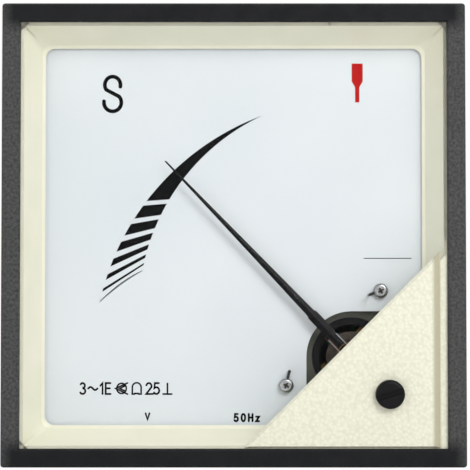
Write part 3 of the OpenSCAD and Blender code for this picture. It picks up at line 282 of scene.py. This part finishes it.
def enamelledCopper():  # enamelled wire, layer on layer
    mat, shader = newMaterial("enamelledCopper", coilLook["plain"], coilLook["rough"], coilLook["metal"])
    wires = {"Scale": 1 / coilLook["wire"], "Distortion": 0.4, "Detail": 1.0}
    turns = addNode(mat, "ShaderNodeTexWave", wires, bands_direction="Y")
    join(mat, stretched(mat, (1, 1, 1)), turns.inputs["Vector"])
    tones(mat, shader, turns.outputs["Fac"], coilLook["first"], coilLook["second"])
    join(mat, ranged(mat, noise(mat, coilLook["wear"]), *coilLook["worn"]), shader.inputs["Roughness"])
    bumps(mat, shader, (turns.outputs["Fac"], coilLook["depth"]))
    return mat


def stackedSheets():  # the transformer's varnished laminations
    mat, shader = newMaterial("stackedSheets", coreLook["plain"], coreLook["rough"], coreLook["metal"])
    pile = {"Scale": 1 / coreLook["sheet"], "Distortion": 0.1}
    layers = addNode(mat, "ShaderNodeTexWave", pile, bands_direction="Y", wave_profile="SAW")
    join(mat, stretched(mat, (1, 1, 1)), layers.inputs["Vector"])
    tones(mat, shader, layers.outputs["Fac"], coreLook["first"], coreLook["second"])
    join(mat, ranged(mat, noise(mat, coreLook["wear"]), *coreLook["worn"]), shader.inputs["Roughness"])
    bumps(mat, shader, (layers.outputs["Fac"], coreLook["depth"]))
    return mat


def boardLacquer():  # green mask with paler tracks under it
    mat, shader = newMaterial("boardLacquer", boardLook["plain"], boardLook["rough"])
    grid = {"Scale": 1 / boardLook["tile"], "Mortar Size": 0.05, "Mortar Smooth": 0.1}
    tracks = addNode(mat, "ShaderNodeTexBrick", grid)
    join(mat, stretched(mat, (1, 1, 1)), tracks.inputs["Vector"])
    tones(mat, shader, tracks.outputs["Fac"], boardLook["mask"], boardLook["tracks"])
    join(mat, ranged(mat, noise(mat, boardLook["wear"]), *boardLook["worn"]), shader.inputs["Roughness"])
    fine = noise(mat, boardLook["fine"])
    bumps(mat, shader, (tracks.outputs["Fac"], boardLook["depth"]), (fine, boardLook["fineDepth"]))
    return mat


# window pane: clear, with a reflection that grows towards the edge of sight

paneLook = {"tint": (0.98, 0.9785, 0.98), "ior": 1.12, "rough": 0.02}


def clearPane():
    mat, shader = newMaterial("clearPane", (245, 250, 250), paneLook["rough"])
    mat.node_tree.nodes.remove(shader)
    output = mat.node_tree.nodes["Material Output"]
    clear = addNode(mat, "ShaderNodeBsdfTransparent", {"Color": (*paneLook["tint"], 1)})
    gloss = addNode(mat, "ShaderNodeBsdfGlossy", {"Roughness": paneLook["rough"]})
    edge = addNode(mat, "ShaderNodeFresnel", {"IOR": paneLook["ior"]})
    mix = addNode(mat, "ShaderNodeMixShader")
    join(mat, edge.outputs["Fac"], mix.inputs["Fac"])
    join(mat, clear.outputs["BSDF"], mix.inputs[1])
    join(mat, gloss.outputs["BSDF"], mix.inputs[2])
    join(mat, mix.outputs["Shader"], output.inputs["Surface"])
    return mat


def dress(mat, *names):  # gives CAD nodes a finish
    for name in names:
        nodes[name].data.materials.clear()
        nodes[name].data.materials.append(mat)


steel = surface("platedSteel", steelLook)
brass = surface("turnedBrass", brassLook)
ink = surface("blackInk", inkLook, first=(4, 5, 6), second=(10, 11, 13))
redInk = surface("redInk", inkLook, first=(184, 22, 20), second=(194, 32, 29))
springBronze = surface("springBronze", brassLook, first=(168, 134, 76), second=(138, 106, 58))
greyGreen = lacquer("greyGreenLacquer", (84, 86, 72), (70, 72, 60))

dress(grainedBlack(), "front_frame")
dress(grainedBlack("housingBlack", housingLook), "rear_housing")
dress(clearPane(), "window")
dress(surface("creamPlastic", maskLook), "inner_mask")
dress(grainedCream(), "corner_cover")
dress(surface("knobBlack", knobLook), "zero_adjuster")
dress(surface("dialPaint", dialLook), "dial_plate")
dress(ink, "scale_print")
dress(redInk, "red_index")
dress(lacquer("pointerBlack", (5, 6, 8), (11, 13, 15), 0.3, gloss=0.12), "pointer")
dress(lacquer("wireBlack", (16, 16, 17), (30, 30, 30), 0.4), "pointer_stops")
dress(steel, "frame_screws", "stud_root_nuts", "panel_clamps", "clamp_washers", "clamp_nuts",
      "mounting_studs", "terminal_tags", "spring_washers", "chassis_screws", "dial_screws",
      "base_screws", "bridge_screws", "front_pivot", "rear_pivot", "adjuster_clip")
dress(brass, "terminal_studs", "terminal_spacers", "terminal_lock_nuts", "terminal_washers", "terminal_nuts",
      "dial_posts", "front_bridge", "rear_bridge", "front_jewel_screw", "rear_jewel_screw",
      "rear_spring_tag", "balance_weights", "zero_lever")
dress(springBronze, "front_hairspring", "rear_hairspring")
dress(greyGreen, "chassis_plate", "movement_base")
dress(lacquer("blackenedIron", (10, 11, 12), (20, 21, 23), 0.45, gloss=0.12), "yoke_ring")
dress(lacquer("darkBrass", (40, 35, 26), (58, 50, 38), 0.5, gloss=0.2), "core_supports")
dress(surface("groundMagnet", magnetLook), "core_magnet")
aluminium = surface("rolledAluminium", steelLook, first=(206, 208, 211), second=(188, 190, 194),
                    worn=(0.3, 0.45))
dress(aluminium, "coil_former", "balance_cross")
dress(enamelledCopper(), "transformer_coil")
dress(lacquer("varnishedWire", (66, 44, 32), (88, 60, 42), 0.45, 0.4, gloss=0.2), "coil_winding")
dress(stackedSheets(), "transformer_core")
dress(boardLacquer(), "circuit_board")
dress(glossPlastic("resistorLacquer", (128, 170, 182), (112, 152, 164)), "resistors")
dress(glossPlastic("canSleeve", (38, 54, 98), (50, 66, 112), 0.3), "capacitors")
dress(glossPlastic("diodeEpoxy", (28, 29, 31), (42, 43, 46), 0.3), "diodes")
dress(glossPlastic("trimmerPlastic", (42, 92, 168), (34, 78, 150), 0.3), "trimmer")
dress(glossPlastic("wireInsulation", (156, 36, 30), (138, 30, 26), 0.35), "lead_wires")
print("finishes set:", len(bpy.data.materials))


# pieces made here

def newPiece(name, mesh, mat, body="case"):  # an object out of a bmesh, riding with a body
    data = bpy.data.meshes.new(name)
    mesh.to_mesh(data)
    mesh.free()
    data.materials.append(mat)
    piece = bpy.data.objects.new(name, data)
    bpy.context.scene.collection.objects.link(piece)
    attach(piece, body)
    return piece


def faceFront(mesh):  # turns every face of a flat print towards the viewer
    for f in mesh.faces:
        f.normal_update()
        if f.normal.y > 0:
            f.normal_flip()


# the signs printed on the dial, drawn with one stroke width as with a lettering pen

def arc(x, y, rx, ry, start, end, steps=14):
    turns = [math.radians(start + (end - start) * i / steps) for i in range(steps + 1)]
    return [(x + rx * math.cos(a), y + ry * math.sin(a)) for a in turns]


# each sign is drawn 1 high, as its width and its strokes
signs = {
    "S": (0.5, [arc(0.25, 0.76, 0.225, 0.24, -12, 215) + arc(0.25, 0.255, 0.25, 0.255, 42, -188)]),
    "0": (0.5, [arc(0.25, 0.5, 0.25, 0.5, 0, 360, 28)]),
    "1": (0.22, [[(0, 0.76), (0.2, 1), (0.2, 0)]]),
    "2": (0.5, [arc(0.24, 0.73, 0.24, 0.27, 165, -35) + [(0, 0), (0.5, 0)]]),
    "3": (0.48, [arc(0.23, 0.765, 0.21, 0.235, 150, -90) + arc(0.23, 0.265, 0.25, 0.265, 90, -150)]),
    "5": (0.48, [[(0.44, 1), (0.08, 1), (0.03, 0.53)] + arc(0.22, 0.31, 0.26, 0.31, 122, -145)]),
    "E": (0.45, [[(0.43, 1), (0, 1), (0, 0), (0.45, 0)], [(0, 0.52), (0.38, 0.52)]]),
    "H": (0.52, [[(0, 0), (0, 1)], [(0.52, 0), (0.52, 1)], [(0, 0.5), (0.52, 0.5)]]),
    "V": (0.62, [[(0, 1), (0.31, 0), (0.62, 1)]]),
    "z": (0.4, [[(0, 0.62), (0.4, 0.62), (0, 0), (0.4, 0)]]),
    "point": (0.05, [[(0, 0), (0.04, 0)]]),
    "wave": (0.85, [[(x / 16 * 0.85, 0.5 + 0.14 * math.sin(x / 16 * 2 * math.pi)) for x in range(17)]]),
    "upright": (0.8, [[(0, 0), (0.8, 0)], [(0.4, 0), (0.4, 1)]]),
    "magnet": (0.78, [[(0.2, 0), (0, 0)] + arc(0.39, 0.6, 0.39, 0.4, 180, 0) + [(0.78, 0), (0.58, 0)],
                      [(0.2, 0.06), (0.58, 0.06)]]),
    "system": (1.05, [arc(0.53, 0.5, 0.42, 0.45, 0, 360, 28), [(1.05, 0.98), (0, 0.5), (1.05, 0)],
                      [(0.78, 0.7), (0.36, 0.5), (0.78, 0.3)]]),
    "rule": (1, [[(0, 0), (1, 0)]]),  # a bare line, as long as its row would be high
}

# left end and foot of each row in millimetres on the dial, height over all, stroke, the gap and the signs
dialRows = [
    {"at": (-34.85, 32.6), "height": 10.25, "stroke": 1.0, "gap": 0, "signs": ["S"]},
    {"at": (-40.65, -41.75), "height": 3.35, "stroke": 0.5, "gap": 0.27, "signs": ["3", "wave", "1", "E"]},
    {"at": (-31.28, -41.75), "height": 3.4, "stroke": 0.42, "gap": 0.85, "signs": ["system", "magnet"]},
    {"at": (-23.24, -41.75), "height": 3.35, "stroke": 0.5, "gap": -0.27, "signs": ["2", "point", "5"]},
    {"at": (-18.77, -41.75), "height": 3.25, "stroke": 0.44, "gap": 0, "signs": ["upright"]},
    {"at": (-23.4, -48.45), "height": 2.1, "stroke": 0.48, "gap": 0, "signs": ["V"]},
    {"at": (-0.05, -48.9), "height": 2.4, "stroke": 0.52, "gap": 0.44, "signs": ["5", "0", "H", "z"]},
    {"at": (34.3, -5.9), "height": 12.6, "stroke": 0.2, "gap": 0, "signs": ["rule"]},
]

# sharpest is the least cosine of half a bend, proud how far the print stands before the dial
pen = {"sharpest": 0.45, "endSteps": 6, "proud": 0.04 * mm}


def strokeMesh(mesh, points, width, place):  # a flat ribbon with round ends along the points
    flat = [Vector(p) for p in points]
    half = width / 2
    left, right = [], []
    for i, p in enumerate(flat):
        before = (p - flat[i - 1]).normalized() if i else (flat[1] - p).normalized()
        after = (flat[i + 1] - p).normalized() if i < len(flat) - 1 else before
        normal = Vector((-(before + after).y, (before + after).x)).normalized()
        reach = half / max(pen["sharpest"], normal.dot(Vector((-after.y, after.x))))
        left.append(p + normal * reach)
        right.append(p - normal * reach)
    rail = [[mesh.verts.new(place(p)) for p in side] for side in (left, right)]
    for i in range(len(flat) - 1):
        mesh.faces.new([rail[0][i], rail[1][i], rail[1][i + 1], rail[0][i + 1]])
    if (flat[0] - flat[-1]).length < 1e-9:  # a closed line has no ends
        return
    for end, inner in ((0, 1), (-1, -2)):
        out = (flat[end] - flat[inner]).normalized()
        across = Vector((-out.y, out.x)) * half
        ring = [flat[end] + across * math.cos(a) + out * half * math.sin(a)
                for a in [math.pi * k / pen["endSteps"] for k in range(pen["endSteps"] + 1)]]
        mesh.faces.new([mesh.verts.new(place(p)) for p in ring])


def dialSigns():
    face = span("dial_plate")[0].y - pen["proud"]
    mesh = bmesh.new()

    def onDial(p):
        return p[0] * mm, face, p[1] * mm

    for row in dialRows:
        x, z = row["at"]
        stroke = row["stroke"]
        tall = row["height"] - stroke
        x += stroke / 2
        for name in row["signs"]:
            width, strokes = signs[name]
            for points in strokes:
                lifted = [(x + px * tall, z + stroke / 2 + pz * tall) for px, pz in points]
                strokeMesh(mesh, lifted, stroke, onDial)
            x += width * tall + stroke + row["gap"]
    faceFront(mesh)
    newPiece("dial_signs", mesh, ink)


dialSigns()
print("dial signs printed")


# rise in the middle of each band below the crescent, from the top one down, in millimetres;
# before it is bent, every line longer than the longest is halved in so many rounds
bandBend = {"rise": [0.1, 0.3, 0.55, 0.8, 0.95, 1.15, 1.25], "rounds": 3, "longest": 0.9 * mm}


def separateParts(mesh):  # the loose parts of a mesh, each as its points
    left = set(mesh.verts)
    parts = []
    while left:
        seed = left.pop()
        part, waiting = [seed], [seed]
        while waiting:
            for link in waiting.pop().link_edges:
                for v in link.verts:
                    if v in left:
                        left.remove(v)
                        part.append(v)
                        waiting.append(v)
        parts.append(part)
    return parts


def curvedScale():  # the crescent scale, its lower bands bent as on a printed dial
    mesh = bmesh.new()
    mesh.from_mesh(nodes["scale_print"].data)
    for _ in range(bandBend["rounds"]):
        long = [e for e in mesh.edges if e.calc_length() > bandBend["longest"]]
        bmesh.ops.subdivide_edges(mesh, edges=long, cuts=1, use_grid_fill=True)
        bmesh.ops.triangulate(mesh, faces=[f for f in mesh.faces if len(f.verts) > 3])
    bands = sorted(separateParts(mesh), key=lambda band: -sum(v.co.z for v in band) / len(band))
    rises = bandBend["rise"]
    for band, rise in zip(bands[-len(rises):], rises):
        xs = [v.co.x for v in band]
        low, high = min(xs), max(xs)
        for v in band:
            t = (v.co.x - low) / (high - low)
            v.co.z += 4 * t * (1 - t) * rise * mm
    print("scale bands bent:", min(len(bands), len(rises)), "of", len(bands))
    piece = newPiece("curved_scale_print", mesh, ink)
    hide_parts("scale_print")


curvedScale()


studSpace = 12 * mm  # more than one stud or screw is wide, less than the way to the next


def studPlaces(node):  # middle of every separate stud or screw in a CAD node
    data = nodes[node].data
    groups = []
    for v in data.vertices:
        near = next((g for g in groups if math.hypot(g[0] - v.co.x, g[1] - v.co.z) < studSpace), None)
        if near is None:
            groups.append([v.co.x, v.co.z, []])
            near = groups[-1]
        near[2].append(v.co.copy())
    places = []
    for _, _, points in groups:
        xs, zs = [p.x for p in points], [p.z for p in points]
        places.append(((min(xs) + max(xs)) / 2, (min(zs) + max(zs)) / 2))
    return places


# the dial screws' crosses, as painted shade

# the turn of the cross in each head, in degrees; the second bar lies a hair in front of the first; the dark
# colour and its paler tone are painted shade
screwCross = {"length": 1.75 * mm, "width": 0.5 * mm, "turned": (28, 62), "point": 0.9, "proud": 0.015 * mm,
              "hair": 0.0009 * mm, "recessShade": (38, 34, 30), "paler": 24}


def paintCrossShade():  # painted shade: a dark cross set just before each dial screw head, standing for the shade in its cross recess
    face = span("dial_screws")[0].y - screwCross["proud"]
    mesh = bmesh.new()
    for (x, z), turned in zip(studPlaces("dial_screws"), screwCross["turned"]):
        for bar in range(2):
            a = math.radians(turned + 90 * bar)
            out = Vector((math.cos(a), 0, math.sin(a))) * screwCross["length"] / 2
            side = Vector((-math.sin(a), 0, math.cos(a))) * screwCross["width"] / 2
            neck = out * screwCross["point"]
            middle = Vector((x, face - bar * screwCross["hair"], z))
            outline = (neck - side, out, neck + side, side - neck, -out, -neck - side)
            mesh.faces.new([mesh.verts.new(middle + p) for p in outline])
    faceFront(mesh)
    pale = [c + screwCross["paler"] for c in screwCross["recessShade"]]
    recessShade = lacquer("paintedRecessShade", screwCross["recessShade"], pale, 0.5, gloss=0.3)
    newPiece("screw_cross_shade", mesh, recessShade)


paintCrossShade()
print("screw heads marked")


# threaded studs

mountingStud = {"radius": 2.0 * mm, "pitch": 0.7 * mm, "depth": 0.38 * mm,
                "hex": 4.04 * mm, "head": 1.8 * mm}
terminalStud = {"radius": 2.5 * mm, "pitch": 0.8 * mm, "depth": 0.44 * mm,
                "hex": 4.62 * mm, "head": 3.5 * mm}
threadForm = {"flat": 1.25, "runOut": 0.9, "tip": 1.2}  # width of the crests, length and depth of the tip


def closedTube(mesh, rings):  # walls between rings of points, and a face at both ends
    around = len(rings[0])
    for low, high in zip(rings, rings[1:]):
        for k in range(around):
            mesh.faces.new([low[k], high[k], high[(k + 1) % around], low[(k + 1) % around]])
    mesh.faces.new(rings[0])
    mesh.faces.new(list(reversed(rings[-1])))


def threadedRod(mesh, x, z, start, end, plan, around=24, perTurn=6):
    rings = []
    count = int((end - start) / plan["pitch"] * perTurn)
    for j in range(count + 1):
        y = start + (end - start) * j / count
        tip = min(1, (end - y) / (threadForm["runOut"] * plan["pitch"]))
        ring = []
        for k in range(around):
            phase = (y / plan["pitch"] - k / around) % 1
            crest = 1 - abs(2 * phase - 1)
            r = plan["radius"] - plan["depth"] * (1 - min(1, threadForm["flat"] * crest))
            r = min(r, plan["radius"] - plan["depth"] * threadForm["tip"] * (1 - tip))
            a = 2 * math.pi * k / around
            ring.append(mesh.verts.new((x + r * math.cos(a), y, z + r * math.sin(a))))
        rings.append(ring)
    closedTube(mesh, rings)


# chamfer is a share of the corners' radius, chamferLength one of the head's length
def hexHead(mesh, x, z, start, end, corner, chamfer=0.12, chamferLength=0.18, around=36):
    rings = []
    for y, shrink in ((start, chamfer), (start + (end - start) * chamferLength, 0), (end, 0)):
        ring = []
        for k in range(around):
            a = 2 * math.pi * k / around
            flat = corner * math.cos(math.pi / 6) / math.cos((a + math.pi / 6) % (math.pi / 3) - math.pi / 6)
            r = min(flat, corner * (1 - shrink)) if shrink else flat
            ring.append(mesh.verts.new((x + r * math.cos(a), y, z + r * math.sin(a))))
        rings.append(ring)
    closedTube(mesh, rings)


def threadedStuds(name, node, plan, mat):
    low, high = span(node)
    mesh = bmesh.new()
    for x, z in studPlaces(node):
        hexHead(mesh, x, z, low.y, low.y + plan["head"], plan["hex"])
        threadedRod(mesh, x, z, low.y + plan["head"], high.y, plan)
    bmesh.ops.recalc_face_normals(mesh, faces=mesh.faces)
    piece = newPiece(name, mesh, mat)
    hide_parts(node)


threadedStuds("mounting_stud_threads", "mounting_studs", mountingStud, steel)
threadedStuds("terminal_stud_threads", "terminal_studs", terminalStud, brass)
print("studs threaded")


# floor, light and camera

# backdrop is how far the lens sees the floor as bare white instead of lit
floorLook = {"colour": (246, 246, 246), "darker": 3, "rough": 0.8, "blotch": 60 * mm, "backdrop": 0.9,
             "white": 1.02, "size": 6}
worldLook = {"light": 0.62, "seen": 0.99}


def seenRays(mat):  # 1 for rays from the lens, and for those that a gloss mirrors or glass lets through
    path = addNode(mat, "ShaderNodeLightPath")
    value = path.outputs["Is Camera Ray"]
    for name in ("Is Glossy Ray", "Is Transmission Ray"):
        larger = addNode(mat, "ShaderNodeMath", operation="MAXIMUM")
        join(mat, value, larger.inputs[0])
        join(mat, path.outputs[name], larger.inputs[1])
        value = larger.outputs["Value"]
    return value


def paleFloor():
    mat, shader = newMaterial("paleFloor", floorLook["colour"], floorLook["rough"])
    shade = ranged(mat, noise(mat, floorLook["blotch"]), 0, 1)
    darker = [c - floorLook["darker"] for c in floorLook["colour"]]
    tones(mat, shader, shade, floorLook["colour"], darker)
    glow = addNode(mat, "ShaderNodeEmission", {"Strength": floorLook["white"]})
    share = addNode(mat, "ShaderNodeMath", operation="MULTIPLY")
    share.inputs[1].default_value = floorLook["backdrop"]
    blend = addNode(mat, "ShaderNodeMixShader")
    join(mat, seenRays(mat), share.inputs[0])
    join(mat, share.outputs["Value"], blend.inputs["Fac"])
    join(mat, shader.outputs["BSDF"], blend.inputs[1])
    join(mat, glow.outputs["Emission"], blend.inputs[2])
    join(mat, blend.outputs["Shader"], mat.node_tree.nodes["Material Output"].inputs["Surface"])
    return mat


low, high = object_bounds()
bpy.ops.mesh.primitive_plane_add(size=floorLook["size"], location=(0, 0, low.z))
floor = bpy.context.object
floor.name = "floor"
floor.data.materials.append(paleFloor())

world = bpy.data.worlds.new("studio")
bpy.context.scene.world = world
world.use_nodes = True
soft = world.node_tree.nodes["Background"]
soft.inputs["Color"].default_value = (1, 1, 1, 1)
soft.inputs["Strength"].default_value = worldLook["light"]
seen = addNode(world, "ShaderNodeBackground", {"Color": (1, 1, 1, 1), "Strength": worldLook["seen"]})
choice = addNode(world, "ShaderNodeMixShader")
join(world, seenRays(world), choice.inputs["Fac"])
join(world, soft.outputs["Background"], choice.inputs[1])
join(world, seen.outputs["Background"], choice.inputs[2])
join(world, choice.outputs["Shader"], world.node_tree.nodes["World Output"].inputs["Surface"])

# place and size of each lamp in metres, and its power in watts
lamps = {
    "keyLamp": {"at": (0.42, -0.95, 0.55), "power": 6.0, "size": 0.5},
    "leftLamp": {"at": (-0.9, -0.8, 0.15), "power": 1.6, "size": 0.7},
    "topLamp": {"at": (0.1, 0.4, 1.1), "power": 3.4, "size": 0.8},
}
middle = (low + high) / 2
for name, plan in lamps.items():
    data = bpy.data.lights.new(name, "AREA")
    data.energy = plan["power"]
    data.size = plan["size"]
    lamp = bpy.data.objects.new(name, data)
    bpy.context.scene.collection.objects.link(lamp)
    lamp.location = plan["at"]
    lamp.rotation_mode = "QUATERNION"
    lamp.rotation_quaternion = (middle - lamp.location).to_track_quat("-Z", "Y")

# below is how far the lens lies under the frame's middle, and lower trims where it aims
cameraPlan = {"distance": 0.5, "below": 24 * mm, "lower": -0.2 * mm, "seenWidth": 121.1 * mm,
              "sensor": 36.0, "shift": (0.0028, 0.03)}
data = bpy.data.cameras.new("camera")
camera = bpy.data.objects.new("camera", data)
bpy.context.scene.collection.objects.link(camera)
camera.location = (0, span("front_frame")[0].y - cameraPlan["distance"], -cameraPlan["below"])
raised = cameraPlan["below"] - cameraPlan["shift"][1] * cameraPlan["seenWidth"] + cameraPlan["lower"]
camera.rotation_euler = (math.radians(90) + math.atan(raised / cameraPlan["distance"]), 0, 0)
data.sensor_width = cameraPlan["sensor"]
data.lens = cameraPlan["sensor"] * cameraPlan["distance"] / cameraPlan["seenWidth"]
data.shift_x, data.shift_y = cameraPlan["shift"]
bpy.context.scene.camera = camera
bpy.context.scene.view_settings.view_transform = "Standard"
print("light and camera set")
